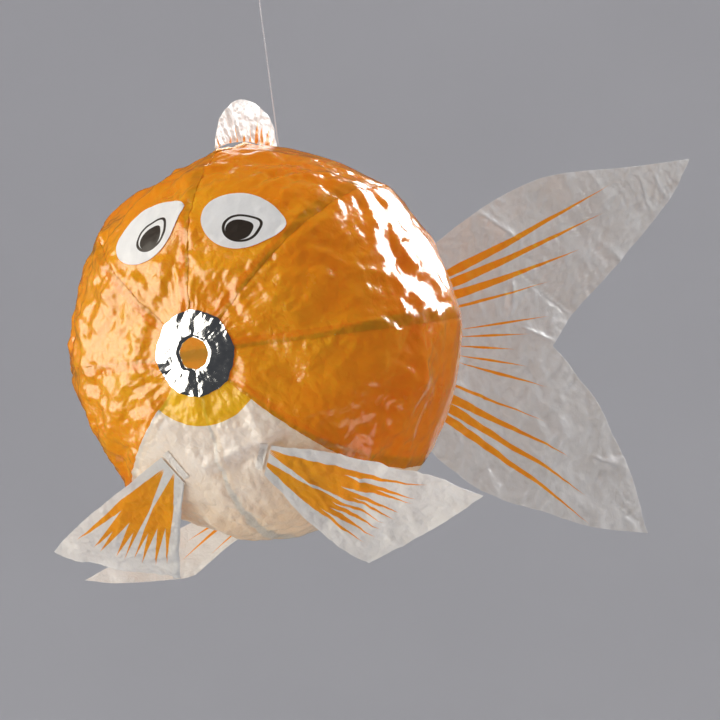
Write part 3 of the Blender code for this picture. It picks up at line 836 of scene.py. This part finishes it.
def tube_curve(name, points, radius, closed=False):
    curve = bpy.data.curves.new(name, "CURVE")
    curve.dimensions = "3D"
    curve.bevel_depth = radius
    curve.bevel_resolution = 4
    curve.use_fill_caps = not closed
    spline = curve.splines.new("POLY")
    spline.points.add(len(points) - 1)
    for knot, point in zip(spline.points, points):
        knot.co = (*point, 1)
    spline.use_cyclic_u = closed
    return curve


def knot_curve(name, low, high):
    """An overhand knot pulled tight: a trefoil wound between two heights."""
    middle, half = (low + high) / 2, (high - low) / 2 - THREAD_DIAMETER / 2
    points = []
    for turn in turns(71):
        reach = (2 + math.cos(3 * turn)) / 3
        points.append((0.62 * MM * reach * math.cos(2 * turn), 0.62 * MM * reach * math.sin(2 * turn),
                       middle + half * math.sin(3 * turn)))
    return tube_curve(name, points, THREAD_DIAMETER * 0.42, closed=True)


def make_thread(material):
    points = [(0, 0, THREAD_FOOT + (THREAD_TOP - THREAD_FOOT) * share) for share in shares(THREAD_POINTS)]

    def thread_piece(name, curve, body, node):
        return piece(name, curve, material, body, "clear_thread", node)

    def knot(name, body, node):
        low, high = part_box(node)
        return thread_piece(name, knot_curve(name, low[2], high[2]), body, node)

    line = tube_curve("thread_line", points, THREAD_DIAMETER / 2)
    thread = thread_piece("thread_line", line, "thread", "hanging_thread")
    upper = knot("thread_upper_knot", "upper_knot", "loop_knot")
    lower = knot("thread_lower_knot", "balloon", "thread_knot")
    centre = THREAD_DIAMETER / 2 - LOOP_HALF_HEIGHT
    ring = [(0, LOOP_HALF_WIDTH * math.sin(turn) * (0.8 + 0.2 * math.cos(turn)),
             centre + LOOP_HALF_HEIGHT * math.cos(turn)) for turn in turns(64)]
    ring = tube_curve("thread_loop", ring, THREAD_DIAMETER / 2, closed=True)
    loop = thread_piece("thread_loop", ring, "hanger", "hanging_loop")


# --- balloon


def make_gore(index, material, slot):
    """One paper segment. Its first edge tucks under its neighbour by the width of the glue lap."""
    place = GORES[index]
    start, end = arc(angle_at_radius(HOLE_RADIUS)), arc(angle_at_radius(STERN_HOLE_RADIUS, nose=False))
    angle = angle_at_arc(np.linspace(start, end, round((end - start) / (1.0 * MM))))[:, None]
    radius = meridian(angle)[1]
    lap = LAP * (0.3 + 0.7 * smoothstep(45 * MM, 90 * MM, arc(angle)))
    lap = np.minimum(lap / radius, 0.35 * GORE_ANGLE)
    edge = 0.25 * MM * smooth_noise(stacked(arc(angle) / (4 * MM), index * 3.7, 0), 5)
    tucked = -lap * (1 - shares(LAP_COLUMNS)[:-1])
    across = GORE_ANGLE * shares(GORE_COLUMNS) + edge / radius * shares(GORE_COLUMNS) ** 8
    across = np.concatenate([tucked, across], axis=1)
    around = index * GORE_ANGLE + across
    emerge = smoothstep(1.8 * MM, -0.2 * MM, across * radius)
    points, normal = paper_skin(angle + 0 * around, around, -LAP_STEP * emerge)
    place_on_paper = stacked((GORE_ANGLE - across) * radius, arc(angle), 0) / MM
    sheet(f"skin_{place}", points, normal, material, "balloon", slot, f"gore_{place}", flat=place_on_paper)


def make_foil_ring(material):
    """Crumpled foil on paper round the blow hole, with creases that run out from the hole."""
    around = turns(300)[None, :]
    outer = FOIL_RADIUS + 0.45 * MM * smooth_noise(on_ring(around, 5), 101)
    inner = HOLE_RADIUS + 0.45 * MM * smooth_noise(on_ring(around, 2.2, 4), 102) - 0.3 * MM
    share = shares(46)[:, None]
    angle = angle_at_radius(inner + (outer - inner) * share)
    around = around + 0 * angle
    point = raw_skin(angle, around)
    run = share * 1.6
    rays = creases(on_ring(around, 1.9, run * 0.5), 111)
    fine = creases(on_ring(around, 5, run), 121)
    lumps, small = crumple(point, 9 * MM, 131), crumple(point, 4 * MM, 141)
    height = 0.38 * MM * rays + 0.05 * MM * fine + 0.07 * MM * lumps + 0.02 * MM * small
    height = height * smoothstep(0, 0.12, share) * smoothstep(1, 0.9, share)
    lip = 0.5 * MM * smoothstep(0.14, 0.0, share)
    lift = 0.55 * MM + np.maximum(height, -0.25 * MM) - lip
    points, normal = paper_skin(angle, around, lift)
    sheet("foil_ring", points, normal, material, "balloon", "silver_foil", "mouth_foil_ring", wrap=True)


def make_stern_patch(material):
    around = turns(160)[None, :]
    share = shares(26)[:, None]
    outer = STERN_PATCH_RADIUS + 0.25 * MM * smooth_noise(on_ring(around, 3), 151)
    angle = angle_at_radius(0.1 * MM + outer * share, nose=False)
    around = around + 0 * angle
    rays = creases(on_ring(around, 3, share * 1.5), 161)
    lift = 0.35 * MM + 0.12 * MM * rays * smoothstep(0, 0.5, share)
    points, normal = paper_skin(angle, around, lift)
    sheet("stern_cover", points, normal, material, "balloon", "orange_glassine", "stern_patch", wrap=True)


def project(point):
    """The skin's (angle, around) straight under points given from the body's centre."""
    across = np.hypot(point[..., 0], point[..., 2])
    return np.arctan2(across, -point[..., 1]), np.arctan2(point[..., 0], point[..., 2])


def make_eye(side, material):
    """An almond paper sticker, drawn out to a point towards the fish's left."""
    centre, normal = raw_skin(*eye_middle(side)), skin_normal(*eye_middle(side))
    slant = EYE_SLANTS[side]
    along = np.array([math.cos(slant), 0, math.sin(slant)])
    along -= normal * (along @ normal)
    along /= norm(along)
    upwards = np.cross(normal, along)
    turn = turns(180)[None, :]
    share = 0.004 + 0.996 * shares(28)[:, None]
    corner = EYE_CORNER * np.maximum(np.cos(turn), 0) ** EYE_CORNER_SHARPNESS
    wave = 0.15 * MM * smooth_noise(on_ring(turn, 2, side), 171)
    long = (EYE_HALF_LENGTH + corner + wave) * np.cos(turn) * share
    high = (EYE_HALF_HEIGHT + wave) * np.sin(turn) * share
    flat = centre + along * long[..., None] + upwards * high[..., None]
    lift = 0.42 * MM + 0.10 * MM * crumple(flat, 8 * MM, 181)
    points, outward = paper_skin(*project(flat), lift)
    name, flat = SIDE_NAMES[side], stacked(long, high, 0) / MM
    node = f"eye_patch_{name}"
    sheet(f"eye_{name}", points, outward, material, "balloon", "white_glassine", node, wrap=True, flat=flat)


# --- glue strips


STRIP_ACROSS = np.array([-1.5, -1.1, -0.7, -0.3, -0.22, -0.18, 0, 0.18, 0.22, 0.3, 0.7, 1.1, 1.5]) * MM
STRIP_UP = np.array([0, 0, 0, 0.05, 0.35, 0.75, 0.8, 0.75, 0.35, 0.05, 0, 0, 0]) * MM
STRIP_LIFT = 0.4 * MM


def fold_strip(name, points, outward, material, slot, node):
    """A folded glue strip on the skin: two flat flaps and a low standing rib between them, whose walls face
    sideways."""
    lean = np.sign(STRIP_ACROSS) * ((STRIP_UP > 0.3 * MM) & (STRIP_UP < 0.78 * MM))
    outward = outward * (lean == 0)[:, None] + np.array([1.0, 0, 0]) * lean[:, None]
    sheet(name, points, outward + 0 * points, material, "balloon", slot, node, 0.1 * MM)


def seam_strip(name, front, rear, around, material, slot, node):
    angle = np.linspace(angle_at_y(front), angle_at_y(rear), 60)[:, None]
    sign = 1 if around == 0 else -1
    turn = around + sign * STRIP_ACROSS / meridian(angle)[1]
    fold_strip(name, *paper_skin(angle, turn, STRIP_LIFT + STRIP_UP), material, slot, node)


def tail_strip(material):
    height = np.linspace(TAIL_ROOT_HALF, -TAIL_ROOT_HALF, 40)[:, None] + 0 * STRIP_ACROSS
    across = STRIP_ACROSS + 0 * height
    angle = angle_at_radius(np.hypot(across, height), nose=False)
    points = raw_skin(angle, np.arctan2(across, height)) + BODY_CENTRE
    points[..., 1] += 0.75 * MM + STRIP_UP
    outward = np.array([0, 1.0, 0])
    fold_strip("tail_strip", points, outward, material, "clear_glassine", "tail_glue_strip")


# --- fins


def smooth_line(points, share):
    """A Catmull-Rom curve through the points, at shares of the way along its spans."""
    points = np.asarray(points, float)
    padded = np.vstack([2 * points[0] - points[1], points, 2 * points[-1] - points[-2]])
    place = np.clip(share, 0, 1) * (len(points) - 1)
    index = np.minimum(place.astype(int), len(points) - 2)
    t = (place - index)[..., None]
    p0, p1, p2, p3 = [padded[index + step] for step in range(4)]
    bend, twist = 2 * p0 - 5 * p1 + 4 * p2 - p3, 3 * p1 - p0 - 3 * p2 + p3
    return p1 + (p2 - p0) * t / 2 + bend * t**2 / 2 + twist * t**3 / 2


def line_through(points):
    return lambda share: smooth_line(points, share)


def coons(root, tip, first, last, s, t):
    """The sheet between four edges: root and tip run with t, first and last run with s."""
    s3, t3 = s[..., None], t[..., None]
    zero, one = np.zeros(1), np.ones(1)
    ruled = root(t) * (1 - s3) + tip(t) * s3 + first(s) * (1 - t3) + last(s) * t3
    corners = root(zero) * (1 - s3) * (1 - t3) + root(one) * (1 - s3) * t3
    return ruled - corners - tip(zero) * s3 * (1 - t3) - tip(one) * s3 * t3


def outlined(root, outline, s, t):
    """Flat paper in mm between its root curve and an outline of (upper edge, tip, lower edge)."""
    first, last = root(np.array([0.0, 1.0]))
    upper, lower = np.vstack([first, outline[0]]), np.vstack([last, outline[2]])
    tip = np.vstack([upper[-1:], outline[1], lower[-1:]])
    return coons(root, line_through(tip), line_through(upper), line_through(lower), s, t)


def on_paper(flat):
    return stacked(flat[..., 0], flat[..., 1], 0.0)


def sheet_normals(points):
    along, across = np.gradient(points, axis=0), np.gradient(points, axis=1)
    normal = np.cross(along, across)
    return normal / np.maximum(norm(normal, axis=-1, keepdims=True), 1e-12)


def paper_fin(name, points, flat, material, body, slot, node):
    sheet(name, points, sheet_normals(points), material, body, slot, node, flat=on_paper(flat))


def grid(rows, columns):
    return np.meshgrid(shares(rows), shares(columns), indexing="ij")


def crease_line(flat, ends, depth, width):
    """A folded line on flat paper, in mm: a ridge of this height that falls off over the width."""
    share, away = to_line(flat[..., :2], *np.array(ends, float))
    taper = smoothstep(0, 0.25, share) * smoothstep(1, 0.75, share)
    return depth * np.exp(-away / width) * (0.4 + 0.6 * taper)


def bend_line(flat, ends, slope, reach):
    """Paper that turns by a slope where it passes a line, and lies level again after the reach."""
    first, last = np.array(ends, float)
    run = (last - first) / norm(last - first)
    offset = flat[..., :2] - first
    side = offset[..., 0] * run[1] - offset[..., 1] * run[0]
    return slope * np.clip(side, 0, reach)


def fin_wrinkles(flat, seed, coarse, medium, fine, shift=0):
    """Paper that was folded and flattened again: heights in mm at three sizes of crumple."""
    flat = on_paper(flat) + shift
    height = coarse * smooth_noise(flat / 30, seed)
    height = height + medium * crumple(flat, 13, seed + 11) + 0.5 * medium * crumple(flat, 6, seed + 21)
    return height + fine * crumple(flat, 2.6, seed + 31)


def fin_plane(start, end, outer, inner, towards):
    """A fin's own axes, from its fold's ends and its tip's corners: functions from the body's metres to the
    fin's mm (out, down, off the plane), and back to the world."""
    middle = (start + end) / 2
    out = (outer + inner) / 2 - middle
    out /= norm(out)
    facing = np.cross(out, inner - outer)
    facing /= norm(facing)
    facing = facing * np.sign(facing @ towards)
    down = np.cross(facing, out)
    down = down * np.sign(down @ (end - start))

    def local(point):
        return stacked(*[(point - middle) @ axis for axis in (out, down, facing)]) / MM

    def place(flat, height):
        offset = flat[..., :1] * out + flat[..., 1:2] * down + height[..., None] * facing
        return middle + offset * MM + BODY_CENTRE

    return local, place


def make_dorsal_fin(material):
    """Pleated at its fold and fanned out above it."""
    s, t = grid(74, 60)
    y = smooth_line([(value,) for value in (-28.5, -20, -10, 0, 10, 20, 29.5)], s)[..., 0]
    foot = np.abs(raw_skin(angle_at_y(y * MM), 0 * y)[..., 2]) / MM + 1.9
    top_y, top_z = np.moveaxis(smooth_line(DORSAL_CROWN, s), -1, 0)
    rise = t ** 0.9
    flat_y, flat_z = y + (top_y - y) * rise, foot + (top_z - foot) * rise
    fan = np.arctan2(flat_y, flat_z - 40) * 18
    pleat = creases(stacked(fan * 0.62, flat_z * 0.035, 0), 201)
    flat = stacked(flat_y, flat_z)
    sway = 2.2 * pleat * (1 - 0.72 * rise) * smoothstep(0, 0.10, t)
    sway += 0.5 * fin_wrinkles(flat, 205, 0.8, 0.5, 0.15)
    points = stacked(sway, flat_y, flat_z) * MM + BODY_CENTRE
    paper_fin("dorsal_paper", points, flat, material, "dorsal", "white_glassine", "dorsal_fin")


def tail_flat(s, t):
    """The flat tail in mm: x along its own axis, y across. t runs from the upper to the lower edge."""
    def root(share):
        return stacked(0 * share, TAIL_ROOT_HALF / MM * (1 - 2 * share))

    def tip(share):
        upper = smooth_line(TAIL_TRAILING_UPPER, 2 * share)
        lower = smooth_line(TAIL_TRAILING_LOWER, 2 * (1 - share))
        return np.where((share < 0.5)[..., None], upper, lower)

    return coons(root, tip, line_through(TAIL_UPPER), line_through(TAIL_LOWER), s, t)


def make_tail(material):
    s, t = grid(150, 150)
    flat = tail_flat(s, t)
    x, z = flat[..., 0], flat[..., 1]
    sway = fin_wrinkles(flat, 231, 2.2, 1.0, 0.2)
    for ends, depth, width in TAIL_CREASES:
        sway = sway + crease_line(flat, ends, 1.8 * depth, width)
    for ends, slope, reach in TAIL_BENDS:
        sway = sway + bend_line(flat, ends, slope, reach)
    turn = TAIL_TURN + TAIL_TWIST * z / 91
    droop = TAIL_DROOP * np.minimum(1, x / 30)
    drooped_x, drooped_z = x * np.cos(droop) + z * np.sin(droop), z * np.cos(droop) - x * np.sin(droop)
    bow = 5 * np.sin(math.pi * np.clip(x / 180, 0, 1)) + sway * smoothstep(4, 26, x)
    points = stacked(np.sin(turn) * drooped_x + np.cos(turn) * bow,
                     TAIL_PIVOT + np.cos(turn) * drooped_x - np.sin(turn) * bow, drooped_z)
    points = points * MM + BODY_CENTRE
    paper_fin("tail_paper", points, flat, material, "tail", "clear_glassine", "tail_fin")


def pectoral_frame(side):
    """(fold's upper and lower end, tip's outer and inner corner, inboard direction, normal) of a fin."""
    upper = angle_at_radius(49 * MM), math.radians(148.5) * side
    lower = angle_at_radius(57 * MM), math.radians(161) * side
    start, end = [raw_skin(*place) + skin_normal(*place) * (0.95 * MM) for place in (upper, lower)]
    normal = skin_normal((upper[0] + lower[0]) / 2, (upper[1] + lower[1]) / 2)
    inboard = np.cross((end - start) / norm(end - start), normal)
    inboard = inboard * -np.sign(inboard[0] * side)
    outer, inner = np.array([100 * side, -34, -72]) * MM, np.array([44 * side, -26, -96]) * MM
    return start, end, outer, inner, inboard, normal


def make_pectoral(side, strip_material, material):
    """The right fin's lower edge is folded back over the sheet, and its tip curls."""
    start, end, outer, inner, inboard, normal = pectoral_frame(side)
    body, name = f"pectoral_{SIDE_NAMES[side]}", SIDE_NAMES[side]
    s, t = grid(12, 20)
    leaf = start + (end - start) * t[..., None] + inboard * (3.4 * MM * (1 - s))[..., None]
    points, outward = paper_skin(*project(leaf), 0.4 * MM + 0.35 * MM * s**3)
    node = f"pectoral_glue_strip_{name}"
    sheet(f"{body}_strip", points, outward, strip_material, "balloon", "white_glassine", node, 0.12 * MM)

    start, end = start - inboard * 0.3 * MM, end - inboard * 0.3 * MM
    local, place = fin_plane(start, end, outer, inner, normal)
    first, last = local(start), local(end)
    s, t = grid(100, 86)
    t = t * (1 + PECTORAL_HEM) if side == RIGHT else t
    folded = np.maximum(t - 1, 0)
    t = t - 2 * folded
    flat = outlined(line_through([first[:2], last[:2]]), PECTORAL_OUTLINES[side], s, t)
    height = (first[2] * (1 - t) + last[2] * t) * (1 - s) + 2.5 * np.sin(math.pi * s) * (1.6 - 0.6 * t)
    height += fin_wrinkles(flat, 261, 1.6, 0.9, 0.2, 60 * side) * smoothstep(0.02, 0.2, s)
    for ends, depth, width in PECTORAL_CREASES[side]:
        height += 1.6 * crease_line(flat, ends, depth, width)
    if side == RIGHT:
        curl = smoothstep(82, 92, flat[..., 0] - 0.1 * flat[..., 1])
        height += 2.5 * curl + 0.5 * smoothstep(0, 0.012, folded)
    node = f"pectoral_fin_{name}"
    paper_fin(f"{body}_paper", place(flat, height), flat, material, body, "white_glassine", node)


def make_ventral(strip_material, material):
    node = "ventral_glue_strip"
    seam_strip("ventral_strip", VENTRAL_FRONT, VENTRAL_REAR, math.pi, strip_material, "white_glassine", node)

    def root_point(share):
        angle = angle_at_y(VENTRAL_REAR - (VENTRAL_REAR - VENTRAL_FRONT) * share)
        around = math.pi + 0 * angle
        return raw_skin(angle, around) + skin_normal(angle, around) * (2.4 * MM)

    start, end = root_point(np.array(0.0)), root_point(np.array(1.0))
    outer, inner = np.array([-106, 10, -94]) * MM, np.array([-58, 24, -99]) * MM
    local, place = fin_plane(start, end, outer, inner, np.array([0, 0, -1]))
    s, t = grid(110, 36)
    flat = outlined(lambda share: local(root_point(share))[..., :2], VENTRAL_OUTLINE, s, t)
    height = local(root_point(t))[..., 2] * (1 - s) + 4 * np.sin(math.pi * s) * (1 - 0.5 * t)
    height += fin_wrinkles(flat, 291, 1.2, 0.5, 0.12) * smoothstep(0.02, 0.2, s)
    points = place(flat, height)
    paper_fin("ventral_paper", points, flat, material, "ventral", "white_glassine", "ventral_fin")


# --- stage and lights


def make_stage():
    """A pale seamless sweep all round: a floor that curves up into a round wall."""
    floor, bend, wall, top = -1.05, 1.3, 3.4, 3.6
    curve = [(wall - bend + bend * math.sin(turn), floor + bend * (1 - math.cos(turn)))
             for turn in np.linspace(0, math.pi / 2, 24)]
    mesh = bmesh.new()
    rings = []
    for radius, height in [(0.01, floor), *curve, (wall, top)]:
        circle = [(radius * math.cos(turn), radius * math.sin(turn), height) for turn in turns(96)]
        rings.append([mesh.verts.new(point) for point in circle])
    for low, high in zip(rings, rings[1:]):
        for index in range(96):
            mesh.faces.new((low[index - 1], low[index], high[index], high[index - 1]))
    mesh.faces.new(rings[0])
    bmesh.ops.recalc_face_normals(mesh, faces=mesh.faces)
    data = bpy.data.meshes.new("studio_sweep")
    mesh.to_mesh(data)
    mesh.free()
    data.shade_smooth()
    nodes = Nodes("studio_paper")
    grey = nodes.mix(nodes.clouds(nodes.noise(nodes.place(), 3, 2)), STUDIO_DEEP, STUDIO_LIGHT)
    nodes.set(Base_Color=grey, Roughness=0.9, Specular_IOR_Level=0.1)
    data.materials.append(nodes.material)
    sweep = link(bpy.data.objects.new("studio_sweep", data))
    sweep.visible_glossy = False


def softbox(name, azimuth, elevation, distance, width, height, power, colour=(1, 1, 1), glossy=True):
    back = direction(math.radians(azimuth), math.radians(elevation))
    data = bpy.data.lights.new(name, "AREA")
    data.shape = "RECTANGLE"
    data.size, data.size_y = width, height
    data.energy, data.color = power, colour
    light = link(bpy.data.objects.new(name, data))
    light.location = Vector(BODY_CENTRE) + back * distance
    light.rotation_mode = "QUATERNION"
    light.rotation_quaternion = back.to_track_quat("Z", "Y")
    light.visible_camera, light.visible_glossy = False, glossy


def make_glow():
    """The light that the thin paper lets in, scattered about inside the balloon. It moves with it."""
    data = bpy.data.lights.new("inside_glow", "POINT")
    data.shadow_soft_size = 30 * MM
    data.energy = 0.055
    data.color = (1.0, 0.95, 0.70)
    glow = link(bpy.data.objects.new("inside_glow", data))
    glow.visible_camera = glow.visible_glossy = False
    body = frame["bodies"]["balloon"]
    glow.parent = body
    glow.matrix_parent_inverse = body.matrix_world.inverted()
    glow.location = Vector(BODY_CENTRE)


def make_lights():
    softbox("key_behind", 151, 25, 1.35, 1.15, 0.75, 22)
    softbox("front_left", -54, 9, 1.35, 1.5, 1.3, 18, (1.0, 0.94, 0.82))
    softbox("overhead", 0, 88, 3.2, 3.2, 3.2, 69, glossy=False)
    make_glow()
    world = bpy.data.worlds.new("studio")
    world.use_nodes = True
    background = world.node_tree.nodes["Background"].inputs
    background["Color"].default_value = (0.9, 0.93, 1.0, 1)
    background["Strength"].default_value = 0.06
    bpy.context.scene.world = world


def main():
    bpy.context.scene.view_settings.view_transform = "Standard"
    make_camera()
    make_thread(clear_thread())
    make_stage()
    make_lights()
    orange, belly = orange_glassine(), belly_glassine()
    for index, place in enumerate(GORES):
        if "belly" in place:
            make_gore(index, belly, "white_glassine")
        else:
            make_gore(index, orange, "orange_glassine")
    make_foil_ring(silver_foil())
    make_stern_patch(orange)
    eyes = eye_paper()
    for side in (LEFT, RIGHT):
        make_eye(side, eyes)
    strips = plain_glassine("strip_glassine", STRIP_CREAM, STRIP_DEEP)
    matt_orange = plain_glassine("matt_orange_glassine", FRONT_DEEP, ORANGE)
    node = "dorsal_glue_strip"
    seam_strip("dorsal_strip", -DORSAL_HALF, DORSAL_HALF, 0, matt_orange, "orange_glassine", node)
    make_dorsal_fin(printed_glassine("dorsal_glassine", DORSAL_WHITE, FIN_WHITE, DORSAL_RAYS))
    tail_strip(plain_glassine("pale_glassine", GLASSINE_GREY, GLASSINE_DEEP))
    make_tail(printed_glassine("tail_glassine", GLASSINE_GREY, GLASSINE_DEEP, TAIL_RAYS, 0.15))
    for side in (LEFT, RIGHT):
        name = f"pectoral_glassine_{SIDE_NAMES[side]}"
        make_pectoral(side, strips, printed_glassine(name, FIN_WHITE, FIN_SHADE, PECTORAL_RAYS[side]))
    make_ventral(strips, printed_glassine("ventral_glassine", FIN_WHITE, FIN_SHADE, VENTRAL_RAYS))


main()
